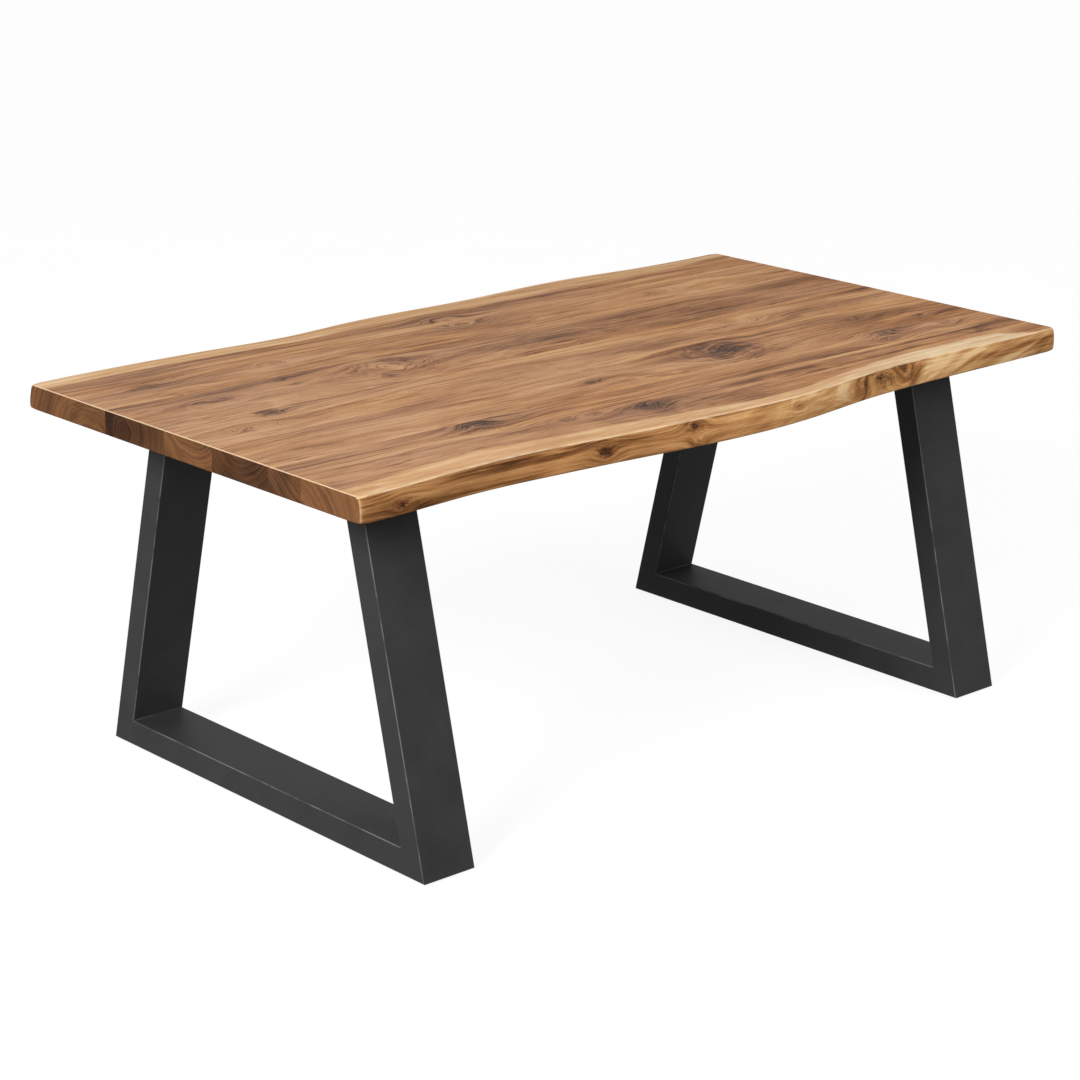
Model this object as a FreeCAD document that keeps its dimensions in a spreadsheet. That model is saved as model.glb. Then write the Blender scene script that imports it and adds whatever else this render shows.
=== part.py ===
import FreeCAD, Part
import math
import os
import Sketcher
from FreeCAD import Vector

os.makedirs("parts", exist_ok=True)
doc = FreeCAD.newDocument("live_edge_dining_table")

# Driving sizes, in millimetres. X runs along the table, Y from front to back, Z up from the floor.
driving_sizes = {
    # whole table
    "table_height": 755,
    "top_length": 1860,
    "top_thickness": 48,
    # boards of the top, counted from the back: the first glue line is measured from the centre line
    "first_glue_line": 364,
    "board_2_width": 119,
    "board_3_width": 188,
    "board_4_width": 146,
    "board_5_width": 164,
    "board_6_width": 92,
    # live edges: mean reach from the centre line, swell of the face, sawn-off ends, rounded edges
    "back_reach": 511.5,
    "front_reach": 500,
    "edge_belly": 3,
    "end_waste": 30,
    "corner_radius": 8,
    "arris_radius": 3,
    # leg frames of rectangular tube
    "frame_set_in": 150,
    "tube_depth": 120,
    "tube_face": 52,
    "tube_wall": 3,
    "tube_edge_radius": 3,
    "foot_span": 968,
    "head_span": 628,
    # mounting plates and their welds
    "plate_thickness": 8,
    "plate_overhang": 12,
    "plate_corner_radius": 6,
    "weld_leg": 5,
    # bolts, washers and threaded inserts
    "bolt_set_in": 60,
    "bolt_edge_distance": 22,
    "bolt_diameter": 8,
    "bolt_length": 26,
    "bolt_head_diameter": 14,
    "bolt_head_height": 4.5,
    "bolt_hole_diameter": 9,
    "slot_travel": 12,
    "washer_diameter": 24,
    "washer_thickness": 2,
    "insert_diameter": 12,
    "insert_length": 20,
    "insert_hole_depth": 30,
    "fit_clearance": 0.3,
    # floor glides
    "glide_height": 5,
    "glide_diameter": 40,
    "glide_rim": 1.5,
    "glide_stem_diameter": 10,
    "glide_stem_length": 12,
    "glide_set_in": 70,
}

# Sizes that follow from the driving ones.
derived_sizes = {
    "half_length": "top_length / 2",
    "underside": "table_height - top_thickness",
    "glue_line_2": "first_glue_line - board_2_width",
    "glue_line_3": "glue_line_2 - board_3_width",
    "glue_line_4": "glue_line_3 - board_4_width",
    "glue_line_5": "glue_line_4 - board_5_width",
    "glue_line_6": "glue_line_5 - board_6_width",
    "frame_centre": "half_length - frame_set_in - tube_depth / 2",
    "plate_underside": "underside - plate_thickness",
    # sideways run of an upright for each millimetre of rise, and the level cut through its faces
    "splay": "(foot_span - head_span) / 2 / (plate_underside - glide_height)",
    "face_across": "tube_face * sqrt(1 + splay ^ 2)",
    "wall_across": "tube_wall * sqrt(1 + splay ^ 2)",
    "foot_half": "foot_span / 2",
    "head_half": "head_span / 2",
    "bar_top": "glide_height + tube_face",
    "mitre_run": "face_across + splay * tube_face",
    # bolts lie in two columns and three rows about the middle of each plate
    "bolt_row": "head_half - face_across - bolt_set_in",
    "bolt_offset": "tube_depth / 2 - bolt_edge_distance",
}

sheet = doc.addObject("Spreadsheet::Sheet", "sizes")
row = 0
for name, value in list(driving_sizes.items()) + list(derived_sizes.items()):
    row += 1
    sheet.set("A%d" % row, name)
    sheet.set("B%d" % row, "=" + value if isinstance(value, str) else str(value))
    sheet.setAlias("B%d" % row, name)
doc.recompute()

# A second sheet works out a formula once, to draw a sketch near its final form.
trial = doc.addObject("Spreadsheet::Sheet", "trial")


def size(name):
    value = getattr(sheet, name)
    return getattr(value, "Value", value)


def bind(item, **formulas):
    # Each property of the item follows a formula in the names of the sheet.
    for prop, formula in formulas.items():
        item.setExpression(prop.replace("__", "."), in_sheet(formula))


def in_sheet(formula):
    words = []
    for word in formula.split():
        bare = word.strip("()")
        is_size = bare in driving_sizes or bare in derived_sizes
        words.append(word.replace(bare, "sizes." + bare) if is_size else word)
    return " ".join(words)


def place(item, x="0", y="0", z="0"):
    bind(item, Placement__Base__x=x, Placement__Base__y=y, Placement__Base__z=z)


def new_body(name, several_solids=False):
    body = doc.addObject("PartDesign::Body", name)
    body.AllowCompound = several_solids
    return body


def origin_feature(body, role):
    return next(item for item in body.Origin.OriginFeatures if item.Role == role)


def new_sketch(body, name, plane):
    sketch = body.newObject("Sketcher::SketchObject", name)
    sketch.AttachmentSupport = [(origin_feature(body, plane), "")]
    sketch.MapMode = "FlatFace"
    return sketch


def pin_point(sketch, line, end, across, up):
    # Holds a point of a line or circle at a formula's distance from each axis of the sketch.
    for kind, formula, axis in (("DistanceX", across, -2), ("DistanceY", up, -1)):
        if formula == "0":
            sketch.addConstraint(Sketcher.Constraint("PointOnObject", line, end, axis))
        else:
            number = sketch.addConstraint(Sketcher.Constraint(kind, -1, 1, line, end, value_of(formula)))
            sketch.setExpression("Constraints[%d]" % number, in_sheet(formula))


def value_of(formula):
    trial.set("A1", "=" + in_sheet(formula))
    trial.recompute()
    value = trial.get("A1")
    return getattr(value, "Value", value)


def draw_polygon(sketch, corners):
    # Closed outline through corners that are each a pair of formulas.
    points = [Vector(value_of(across), value_of(up), 0) for across, up in corners]
    first = sketch.GeometryCount
    count = len(points)
    for number in range(count):
        sketch.addGeometry(Part.LineSegment(points[number], points[(number + 1) % count]))
    for number in range(count):
        following = first + (number + 1) % count
        sketch.addConstraint(Sketcher.Constraint("Coincident", first + number, 2, following, 1))
    for number, (across, up) in enumerate(corners):
        pin_point(sketch, first + number, 1, across, up)


def draw_circle(sketch, diameter, across, up):
    centre = Vector(value_of(across), value_of(up), 0)
    circle = sketch.addGeometry(Part.Circle(centre, Vector(0, 0, 1), value_of(diameter) / 2))
    number = sketch.addConstraint(Sketcher.Constraint("Diameter", circle, value_of(diameter)))
    sketch.setExpression("Constraints[%d]" % number, in_sheet(diameter))
    pin_point(sketch, circle, 3, across, up)


def pad(body, sketch, length, symmetric=False):
    feature = body.newObject("PartDesign::Pad", sketch.Name + "_pad")
    feature.Profile = sketch
    feature.SideType = "Symmetric" if symmetric else "One side"
    bind(feature, Length=length)
    doc.recompute()
    return feature


def pocket(body, sketch, length, symmetric=False, upward=False):
    feature = body.newObject("PartDesign::Pocket", sketch.Name + "_pocket")
    feature.Profile = sketch
    feature.SideType = "Symmetric" if symmetric else "One side"
    feature.Reversed = upward
    bind(feature, Length=length)
    doc.recompute()
    return feature


def round_edges(body, feature, radius, chosen):
    # Fillets the edges of the feature that the test picks out.
    names = ["Edge%d" % (i + 1) for i, edge in enumerate(feature.Shape.Edges) if chosen(edge)]
    fillet = body.newObject("PartDesign::Fillet", feature.Name + "_rounded")
    fillet.Base = (feature, names)
    bind(fillet, Radius=radius)
    doc.recompute()
    return fillet


def repeat(body, feature, **steps):
    # Repeats a feature along X and Y: each step is a direction, a total run and a count.
    several = body.newObject("PartDesign::MultiTransform", body.Name + "_repeat")
    several.Originals = [feature]
    patterns = []
    for name, (axis, run, count) in steps.items():
        pattern = body.newObject("PartDesign::LinearPattern", body.Name + "_" + name)
        pattern.Direction = (origin_feature(body, axis), [""])
        pattern.Occurrences = count
        bind(pattern, Length=run)
        patterns.append(pattern)
    several.Transformations = patterns
    body.Tip = several
    doc.recompute()


def mirror(body, feature, *planes):
    # Repeats a feature across one or both upright planes of the body.
    several = body.newObject("PartDesign::MultiTransform", feature.Name + "_mirror")
    several.Originals = [feature]
    mirrors = []
    for plane in planes:
        mirrored = body.newObject("PartDesign::Mirrored", feature.Name + "_" + plane)
        mirrored.MirrorPlane = (origin_feature(body, plane), [""])
        mirrors.append(mirrored)
    several.Transformations = mirrors
    body.Tip = several
    doc.recompute()
    return several


def turned_body(name, corners, several_solids=False):
    # Turns a half outline, given as pairs of radius and height, about the upright axis.
    body = new_body(name, several_solids)
    outline = new_sketch(body, name + "_outline", "XZ_Plane")
    draw_polygon(outline, corners)
    doc.recompute()
    turned = body.newObject("PartDesign::Revolution", name + "_turned")
    turned.Profile = outline
    turned.ReferenceAxis = (outline, ["V_Axis"])
    turned.Angle = 360
    doc.recompute()
    return body


def at_each_bolt(name, corners, level):
    # One turned piece at every bolt position of both frames, standing on the given level.
    body = turned_body(name, corners, several_solids=True)
    repeat(
        body,
        body.Tip,
        frames=("X_Axis", "2 * frame_centre", 2),
        sides=("X_Axis", "2 * bolt_offset", 2),
        rows=("Y_Axis", "2 * bolt_row", 3),
    )
    place(body, "-1 * frame_centre - bolt_offset", "-1 * bolt_row", level)
    return body


nodes = []
# points closer than this are taken as one when edges are picked out
near = 0.01

# Leg frames: a base bar with an upright at each end, and a plate over the heads of the uprights.
upright_outline = [
    ("foot_half", "glide_height"),
    ("foot_half - mitre_run", "bar_top"),
    ("head_half - face_across", "plate_underside"),
    ("head_half", "plate_underside"),
]
upright_hollow = [
    ("foot_half - wall_across", "glide_height"),
    ("foot_half - face_across + wall_across", "glide_height"),
    ("head_half - face_across + wall_across", "plate_underside"),
    ("head_half - wall_across", "plate_underside"),
]
bar_outline = [
    ("0", "glide_height"),
    ("foot_span", "glide_height"),
    ("foot_span - mitre_run", "bar_top"),
    ("mitre_run", "bar_top"),
]
bar_hollow = [
    ("0", "glide_height + tube_wall"),
    ("foot_span", "glide_height + tube_wall"),
    ("foot_span", "bar_top - tube_wall"),
    ("0", "bar_top - tube_wall"),
]
outer_weld = [
    ("head_half", "plate_underside"),
    ("head_half + weld_leg", "plate_underside"),
    ("head_half + splay * weld_leg", "plate_underside - weld_leg"),
]
inner_weld = [
    ("head_half - face_across", "plate_underside"),
    ("head_half - face_across - weld_leg", "plate_underside"),
    ("head_half - face_across + splay * weld_leg", "plate_underside - weld_leg"),
]


def tube_piece(name, outline, hollow, direction):
    # A mitred length of rectangular tube, seen along X, with its long outer edges rounded.
    body = new_body(name)
    outside = new_sketch(body, name + "_outside", "YZ_Plane")
    draw_polygon(outside, outline)
    pad(body, outside, "tube_depth", symmetric=True)
    inside = new_sketch(body, name + "_inside", "YZ_Plane")
    draw_polygon(inside, hollow)
    tube = pocket(body, inside, "tube_depth - 2 * tube_wall", symmetric=True)
    half_depth = size("tube_depth") / 2

    def long_outer_edge(edge):
        run = (edge.Vertexes[1].Point - edge.Vertexes[0].Point).normalize()
        on_side = all(abs(abs(vertex.X) - half_depth) < near for vertex in edge.Vertexes)
        return on_side and run.cross(direction).Length < near

    round_edges(body, tube, "tube_edge_radius", long_outer_edge)
    return body


def base_bar(name, x):
    body = tube_piece(name, bar_outline, bar_hollow, Vector(0, 1, 0))
    holes = new_sketch(body, name + "_holes", "XY_Plane")
    draw_circle(holes, "glide_stem_diameter + 2 * fit_clearance", "0", "glide_set_in")
    draw_circle(holes, "glide_stem_diameter + 2 * fit_clearance", "0", "foot_span - glide_set_in")
    pocket(body, holes, "glide_height + 2 * tube_wall", upward=True)
    place(body, x, "-1 * foot_half")
    nodes.append(body)


def upright(name, x, turn):
    lean = Vector(0, -size("splay"), 1)
    body = tube_piece(name, upright_outline, upright_hollow, lean.normalize())
    body.Placement = FreeCAD.Placement(Vector(0, 0, 0), FreeCAD.Rotation(Vector(0, 0, 1), turn))
    place(body, x)
    nodes.append(body)


def mounting_plate(name, x):
    body = new_body(name)
    outline = new_sketch(body, name + "_outline", "XY_Plane")
    bind(outline, AttachmentOffset__Base__z="plate_underside")
    half_width = size("tube_depth") / 2
    half_run = size("head_half") + size("plate_overhang")
    corners = [(-half_width, -half_run), (half_width, -half_run), (half_width, half_run), (-half_width, half_run)]
    for number in range(4):
        start = Vector(*corners[number], 0)
        end = Vector(*corners[(number + 1) % 4], 0)
        outline.addGeometry(Part.LineSegment(start, end))
    for number in range(4):
        outline.addConstraint(Sketcher.Constraint("Coincident", number, 2, (number + 1) % 4, 1))
        outline.addConstraint(Sketcher.Constraint("Horizontal" if number % 2 == 0 else "Vertical", number))
    outline.addConstraint(Sketcher.Constraint("Symmetric", 0, 1, 2, 1, -1, 1))
    pin_point(outline, 2, 1, "tube_depth / 2", "head_half + plate_overhang")
    plate = pad(body, outline, "plate_thickness")
    round_edges(body, plate, "plate_corner_radius", lambda edge: edge.BoundBox.ZLength > near)
    # round holes in the middle row, slots across the grain in the outer rows
    middle = new_sketch(body, name + "_middle_hole", "XY_Plane")
    draw_circle(middle, "bolt_hole_diameter", "bolt_offset", "0")
    hole = pocket(body, middle, "table_height", upward=True)
    mirror(body, hole, "YZ_Plane")
    slot_sketch = new_sketch(body, name + "_slot", "XY_Plane")
    draw_slot(slot_sketch)
    slot = pocket(body, slot_sketch, "table_height", upward=True)
    mirror(body, slot, "YZ_Plane", "XZ_Plane")
    place(body, x)
    nodes.append(body)


def draw_slot(sketch):
    # A slot along Y about the bolt of the outer row.
    centre = Vector(size("bolt_offset"), size("bolt_row"), 0)
    radius = size("bolt_hole_diameter") / 2
    half = Vector(0, size("slot_travel") / 2, 0)
    side = Vector(radius, 0, 0)
    upper = Part.Circle(centre + half, Vector(0, 0, 1), radius)
    lower = Part.Circle(centre - half, Vector(0, 0, 1), radius)
    sketch.addGeometry(Part.ArcOfCircle(upper, 0, math.pi))
    sketch.addGeometry(Part.LineSegment(centre + half - side, centre - half - side))
    sketch.addGeometry(Part.ArcOfCircle(lower, math.pi, 2 * math.pi))
    sketch.addGeometry(Part.LineSegment(centre - half + side, centre + half + side))
    sketch.addConstraint(Sketcher.Constraint("Tangent", 0, 2, 1, 1))
    sketch.addConstraint(Sketcher.Constraint("Tangent", 1, 2, 2, 1))
    sketch.addConstraint(Sketcher.Constraint("Tangent", 2, 2, 3, 1))
    sketch.addConstraint(Sketcher.Constraint("Tangent", 3, 2, 0, 1))
    sketch.addConstraint(Sketcher.Constraint("Vertical", 1))
    number = sketch.addConstraint(Sketcher.Constraint("Radius", 0, radius))
    sketch.setExpression("Constraints[%d]" % number, in_sheet("bolt_hole_diameter / 2"))
    pin_point(sketch, 0, 3, "bolt_offset", "bolt_row + slot_travel / 2")
    number = sketch.addConstraint(Sketcher.Constraint("DistanceY", 2, 3, 0, 3, size("slot_travel")))
    sketch.setExpression("Constraints[%d]" % number, in_sheet("slot_travel"))


def frame_welds(name, x):
    body = new_body(name, several_solids=True)
    triangles = new_sketch(body, name + "_triangles", "YZ_Plane")
    draw_polygon(triangles, outer_weld)
    draw_polygon(triangles, inner_weld)
    beads = pad(body, triangles, "tube_depth - 2 * tube_edge_radius", symmetric=True)
    mirror(body, beads, "XZ_Plane")
    place(body, x)
    nodes.append(body)


def glide(name, x, y):
    outline = [
        ("0", "0"),
        ("glide_diameter / 2 - glide_rim", "0"),
        ("glide_diameter / 2", "glide_rim"),
        ("glide_diameter / 2", "glide_height"),
        ("glide_stem_diameter / 2", "glide_height"),
        ("glide_stem_diameter / 2", "glide_height + glide_stem_length"),
        ("0", "glide_height + glide_stem_length"),
    ]
    body = turned_body(name, outline)
    place(body, x, y)
    nodes.append(body)


for end, x in (("left", "-1 * frame_centre"), ("right", "frame_centre")):
    base_bar(end + "_base_bar", x)
    upright(end + "_front_upright", x, 180)
    upright(end + "_back_upright", x, 0)
    mounting_plate(end + "_mounting_plate", x)
    frame_welds(end + "_plate_welds", x)
    glide(end + "_front_glide", x, "glide_set_in - foot_half")
    glide(end + "_back_glide", x, "foot_half - glide_set_in")

# Bolts with washers below each plate, screwed up into inserts in the top.
bolts = at_each_bolt(
    "frame_bolts",
    [
        ("0", "0"),
        ("bolt_head_diameter / 2", "0"),
        ("bolt_head_diameter / 2", "bolt_head_height"),
        ("bolt_diameter / 2", "bolt_head_height"),
        ("bolt_diameter / 2", "bolt_head_height + bolt_length"),
        ("0", "bolt_head_height + bolt_length"),
    ],
    "plate_underside - washer_thickness - bolt_head_height",
)
washers = at_each_bolt(
    "frame_washers",
    [
        ("bolt_diameter / 2 + fit_clearance", "0"),
        ("washer_diameter / 2", "0"),
        ("washer_diameter / 2", "washer_thickness"),
        ("bolt_diameter / 2 + fit_clearance", "washer_thickness"),
    ],
    "plate_underside - washer_thickness",
)
inserts = at_each_bolt(
    "threaded_inserts",
    [
        ("bolt_diameter / 2 + fit_clearance", "0"),
        ("insert_diameter / 2", "0"),
        ("insert_diameter / 2", "insert_length"),
        ("bolt_diameter / 2 + fit_clearance", "insert_length"),
    ],
    "underside",
)
insert_holes = at_each_bolt(
    "insert_holes",
    [
        ("0", "0"),
        ("insert_diameter / 2 + fit_clearance", "0"),
        ("insert_diameter / 2 + fit_clearance", "insert_hole_depth"),
        ("0", "insert_hole_depth"),
    ],
    "underside",
)
nodes += [bolts, washers, inserts]

# The top: seven boards side by side. The outer two keep the live edge of the log, given as how far
# it swings out from its mean reach at even steps along the log, at the top and the bottom face.
back_swing_top = [-16, -8, -7, -14, -19, -1, 4, 3, 14, 18, 3, -2, 6]
back_swing_bottom = [-7, -1, -2, -6, -7, 7, 13, 12, 18, 19, 13, 6, 11]
front_swing_top = [3, -5, -18, -16, 0, 10, 17, 13, -10, -25, -26, -23, -26]
front_swing_bottom = [8, 2, -8, -1, 11, 27, 34, 23, -1, -14, -18, -20, -23]


def log_outline(name, side, reach, swings, level):
    # Level outline of the log: the swinging edge on one side, closed along the centre line.
    start = -size("half_length") - size("end_waste")
    step = 2 * (size("half_length") + size("end_waste")) / (len(swings) - 1)
    points = [Vector(start + i * step, side * (reach + swing), level) for i, swing in enumerate(swings)]
    edge = Part.BSplineCurve()
    edge.interpolate(points)
    far_end = Vector(points[-1].x, 0, level)
    near_end = Vector(points[0].x, 0, level)
    sides = Part.makePolygon([points[-1], far_end, near_end, points[0]]).Edges
    outline = doc.addObject("Part::Feature", name)
    outline.Shape = Part.Wire([edge.toShape()] + sides)
    return outline


def raw_board(name, lower, width):
    board = doc.addObject("Part::Box", name)
    bind(board, Length="top_length", Width=width, Height="top_thickness")
    place(board, "-1 * half_length", lower, "underside")
    doc.recompute()
    return board


def rounded_piece(name, piece, radius, chosen):
    fillet = doc.addObject("Part::Fillet", name)
    fillet.Base = piece
    numbers = [i + 1 for i, edge in enumerate(piece.Shape.Edges) if chosen(edge)]
    fillet.Edges = [(number, radius, radius) for number in numbers]
    doc.recompute()
    return fillet


def drilled_board(name, board):
    drilled = doc.addObject("Part::Cut", name)
    drilled.Base = board
    drilled.Tool = insert_holes
    doc.recompute()
    nodes.append(drilled)


def level_edge(edge):
    # True for edges that lie in the upper or the lower face of the top.
    heights = [edge.BoundBox.ZMin, edge.BoundBox.ZMax]
    faces = (size("underside"), size("table_height"))
    return any(all(abs(height - face) < near for height in heights) for face in faces)


def at_end(edge):
    half = size("half_length")
    return all(abs(abs(vertex.X) - half) < near for vertex in edge.Vertexes)


def plain_board(name, lower, width):
    board = raw_board(name + "_raw", lower, width)
    rounded = rounded_piece(name + "_rounded", board, size("arris_radius"), lambda e: level_edge(e) and at_end(e))
    drilled_board(name, rounded)


def live_edge_board(name, side, glue_line, reach, swing_top, swing_bottom):
    middle = [(a + b) / 2 + size("edge_belly") for a, b in zip(swing_top, swing_bottom)]
    low = size("underside")
    high = size("table_height")
    log = doc.addObject("Part::Loft", name + "_log")
    log.Sections = [
        log_outline(name + "_bottom", side, size(reach), swing_bottom, low),
        log_outline(name + "_middle", side, size(reach), middle, (low + high) / 2),
        log_outline(name + "_top", side, size(reach), swing_top, high),
    ]
    log.Solid = True
    # the raw board is wider than the log's edge needs, on the outer side of the glue line
    lower = glue_line if side > 0 else "%s - %s" % (glue_line, reach)
    board = raw_board(name + "_raw", lower, reach)
    sawn = doc.addObject("Part::MultiCommon", name + "_sawn")
    sawn.Shapes = [board, log]
    doc.recompute()
    glue = size(glue_line)

    def on_glue_line(edge):
        return all(abs(vertex.Y - glue) < near for vertex in edge.Vertexes)

    corners = rounded_piece(
        name + "_corners",
        sawn,
        size("corner_radius"),
        lambda e: at_end(e) and not level_edge(e) and not on_glue_line(e),
    )
    rounded = rounded_piece(
        name + "_rounded", corners, size("arris_radius"), lambda e: level_edge(e) and not on_glue_line(e)
    )
    drilled_board(name, rounded)


live_edge_board("back_live_edge_board", 1, "first_glue_line", "back_reach", back_swing_top, back_swing_bottom)
for number in range(2, 7):
    plain_board("top_board_%d" % number, "glue_line_%d" % number, "board_%d_width" % number)
live_edge_board("front_live_edge_board", -1, "glue_line_6", "front_reach", front_swing_top, front_swing_bottom)

doc.recompute()
for item in doc.Objects:
    if "Invalid" in item.State or "Error" in item.State:
        raise RuntimeError("%s did not build: %s" % (item.Name, item.State))
for node in nodes:
    if node.Shape.isNull() or not node.Shape.isValid() or not node.Shape.Solids:
        raise RuntimeError("%s has no sound solid" % node.Name)
    node.Label = node.Name
    node.Shape.exportStep("parts/%s.step" % node.Name)
    print("%-24s solids %2d  volume %9.0f" % (node.Name, len(node.Shape.Solids), node.Shape.Volume))
print("%d nodes written" % len(nodes))
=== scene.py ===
import bpy
import math
import numpy as np
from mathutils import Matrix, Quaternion, Vector, noise


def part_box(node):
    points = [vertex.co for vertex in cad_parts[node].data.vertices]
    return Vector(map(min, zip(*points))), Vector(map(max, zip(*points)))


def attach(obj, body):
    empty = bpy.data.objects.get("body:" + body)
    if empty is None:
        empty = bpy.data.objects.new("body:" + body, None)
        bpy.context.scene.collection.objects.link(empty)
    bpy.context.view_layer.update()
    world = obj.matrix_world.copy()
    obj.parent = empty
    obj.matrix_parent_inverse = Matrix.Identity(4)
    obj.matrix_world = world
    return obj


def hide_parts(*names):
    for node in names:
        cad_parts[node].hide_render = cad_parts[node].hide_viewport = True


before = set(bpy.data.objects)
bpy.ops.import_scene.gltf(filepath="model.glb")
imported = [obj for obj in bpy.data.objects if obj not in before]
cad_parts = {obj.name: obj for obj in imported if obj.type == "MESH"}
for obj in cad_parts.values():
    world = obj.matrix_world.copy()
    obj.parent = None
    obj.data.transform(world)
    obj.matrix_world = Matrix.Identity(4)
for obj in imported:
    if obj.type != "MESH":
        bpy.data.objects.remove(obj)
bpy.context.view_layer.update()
print("frame loaded,", len(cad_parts), "nodes")


# small helpers for node trees


def linear(red, green, blue):  # screen colour 0-255 to the renderer's own values
    shares = [c / 255 for c in (red, green, blue)]
    return tuple(((c + 0.055) / 1.055) ** 2.4 if c > 0.04 else c / 12.92 for c in shares) + (1.0,)


def feed(tree, socket, value):
    if isinstance(value, bpy.types.NodeSocket):
        tree.links.new(value, socket)
    else:
        socket.default_value = value


def feedAll(tree, sockets, values):
    for key, value in values.items():
        feed(tree, sockets[key], value)


def addNode(tree, kind, inputs=None, **settings):
    node = tree.nodes.new(kind)
    count = len(tree.nodes)
    node.location = (170 * (count % 14), -200 * (count // 14))  # rows of fourteen
    for name, value in settings.items():
        setattr(node, name, value)
    feedAll(tree, node.inputs, inputs or {})
    return node


def calc(tree, operation, *terms):
    node = addNode(tree, "ShaderNodeMath", operation=operation)
    for socket, term in zip(node.inputs, terms):
        feed(tree, socket, term)
    return node.outputs[0]


def times(tree, first, second):
    return calc(tree, "MULTIPLY", first, second)


def divide(tree, first, second):
    return calc(tree, "DIVIDE", first, second)


def minus(tree, first, second):
    return calc(tree, "SUBTRACT", first, second)


def timesPlus(tree, first, second, third):  # the first two multiplied, plus the third
    return calc(tree, "MULTIPLY_ADD", first, second, third)


def larger(tree, first, second):
    return calc(tree, "MAXIMUM", first, second)


def addUp(tree, start, *terms):  # start plus each (value, its middle, weight)
    for value, middle, weight in terms:
        if middle:
            value = minus(tree, value, middle)
        start = timesPlus(tree, value, weight, start)
    return start


def fading(tree, near, square, spread):  # 1 in the middle, falling off with the distance squared
    return calc(tree, "EXPONENT", divide(tree, near, times(tree, square, -spread)))


def split(tree, vector):
    return addNode(tree, "ShaderNodeSeparateXYZ", {0: vector}).outputs


def point(tree, x, y, z):
    return addNode(tree, "ShaderNodeCombineXYZ", {0: x, 1: y, 2: z}).outputs[0]


def cloud(tree, vector, scale=1.0, detail=3.0, rough=0.55, distort=0.0):
    values = {
        "Vector": vector, "Scale": scale, "Detail": detail, "Roughness": rough,
        "Distortion": distort}
    return addNode(tree, "ShaderNodeTexNoise", values).outputs["Fac"]


def drawnCloud(tree, vector, stretch, shift=0.0, detail=3.0, rough=0.55, distort=0.0, scale=1.0):
    # a cloud drawn out along the grain, where shift picks another part of it
    scaled = addNode(tree, "ShaderNodeVectorMath", {0: vector, 1: stretch}, operation="MULTIPLY")
    places = {0: scaled.outputs[0], 1: point(tree, shift, shift, shift)}
    moved = addNode(tree, "ShaderNodeVectorMath", places, operation="ADD")
    return cloud(tree, moved.outputs[0], scale, detail, rough, distort)


def ease(tree, value, low, high, start=0.0, end=1.0):
    values = {0: value, 1: low, 2: high, 3: start, 4: end}
    return addNode(tree, "ShaderNodeMapRange", values, interpolation_type="SMOOTHSTEP").outputs[0]


def tint(tree, amount, first, second):
    values = {0: amount, 6: first, 7: second}
    return addNode(tree, "ShaderNodeMix", values, data_type="RGBA").outputs[2]


def ramp(tree, value, stops):
    node = addNode(tree, "ShaderNodeValToRGB", {0: value})
    bar = node.color_ramp.elements
    while len(bar) < len(stops):
        bar.new(1.0)
    for element, (place, colour) in zip(bar, stops):
        element.position = place
        element.color = linear(*colour)
    return node.outputs[0]


def bump(tree, height, strength, distance):
    values = {"Strength": strength, "Distance": distance, "Height": height}
    return addNode(tree, "ShaderNodeBump", values).outputs[0]


def newGroup(name, inputs, outputs):
    tree = bpy.data.node_groups.new(name, "ShaderNodeTree")
    kinds = {"Position": "NodeSocketVector", "Color": "NodeSocketColor"}
    for way, labels in (("INPUT", inputs), ("OUTPUT", outputs)):
        for label in labels:
            kind = kinds.get(label, "NodeSocketFloat")
            tree.interface.new_socket(name=label, in_out=way, socket_type=kind)
    return tree, addNode(tree, "NodeGroupInput").outputs, addNode(tree, "NodeGroupOutput").inputs


def useGroup(tree, group, inputs):
    return addNode(tree, "ShaderNodeGroup", inputs, node_tree=group).outputs


def newMaterial(name):
    material = bpy.data.materials.new(name)
    material.use_nodes = True
    tree = material.node_tree
    tree.nodes.clear()
    shader = addNode(tree, "ShaderNodeBsdfPrincipled")
    output = addNode(tree, "ShaderNodeOutputMaterial", {"Surface": shader.outputs[0]})
    shader.location, output.location = (100, 300), (400, 300)
    place = addNode(tree, "ShaderNodeTexCoord").outputs["Object"]
    return material, tree, shader, place


def dress(piece, material):
    piece.data.materials.clear()
    piece.data.materials.append(material)


# groups that the wood materials share

woodRamps = {
    "grey": [
        (0.0, (70, 52, 45)), (0.25, (128, 94, 74)), (0.5, (166, 123, 93)), (0.75, (188, 144, 109)),
        (1.0, (208, 168, 130))],
    "gold": [
        (0.0, (78, 50, 34)), (0.25, (138, 92, 58)), (0.5, (177, 124, 80)), (0.75, (198, 146, 97)),
        (1.0, (218, 173, 122))],
    "sawnEnd": [
        (0.0, (52, 33, 22)), (0.3, (98, 65, 42)), (0.6, (140, 96, 62)), (1.0, (176, 130, 88))],
    "sapwood": [
        (0.0, (160, 110, 70)), (0.3, (194, 146, 102)), (0.6, (216, 172, 126)),
        (1.0, (242, 216, 178))],
    "liveFace": [
        (0.0, (72, 42, 22)), (0.25, (128, 83, 46)), (0.5, (176, 125, 77)), (0.75, (208, 159, 105)),
        (1.0, (232, 195, 143))],
}

# reaches are in squares of the knot's size, the shift, roughness, rim and rings in its size
knotLook = {
    "bend": 0.8, "bendReach": 13, "swellReach": 5, "haloReach": 4.5, "haloShift": -0.6,
    "haloSqueeze": 0.50, "rough": 2.2, "rimAt": 1.25, "rimWidth": 0.24, "ringGap": 0.21,
    "ringWave": 2.2}


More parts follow.
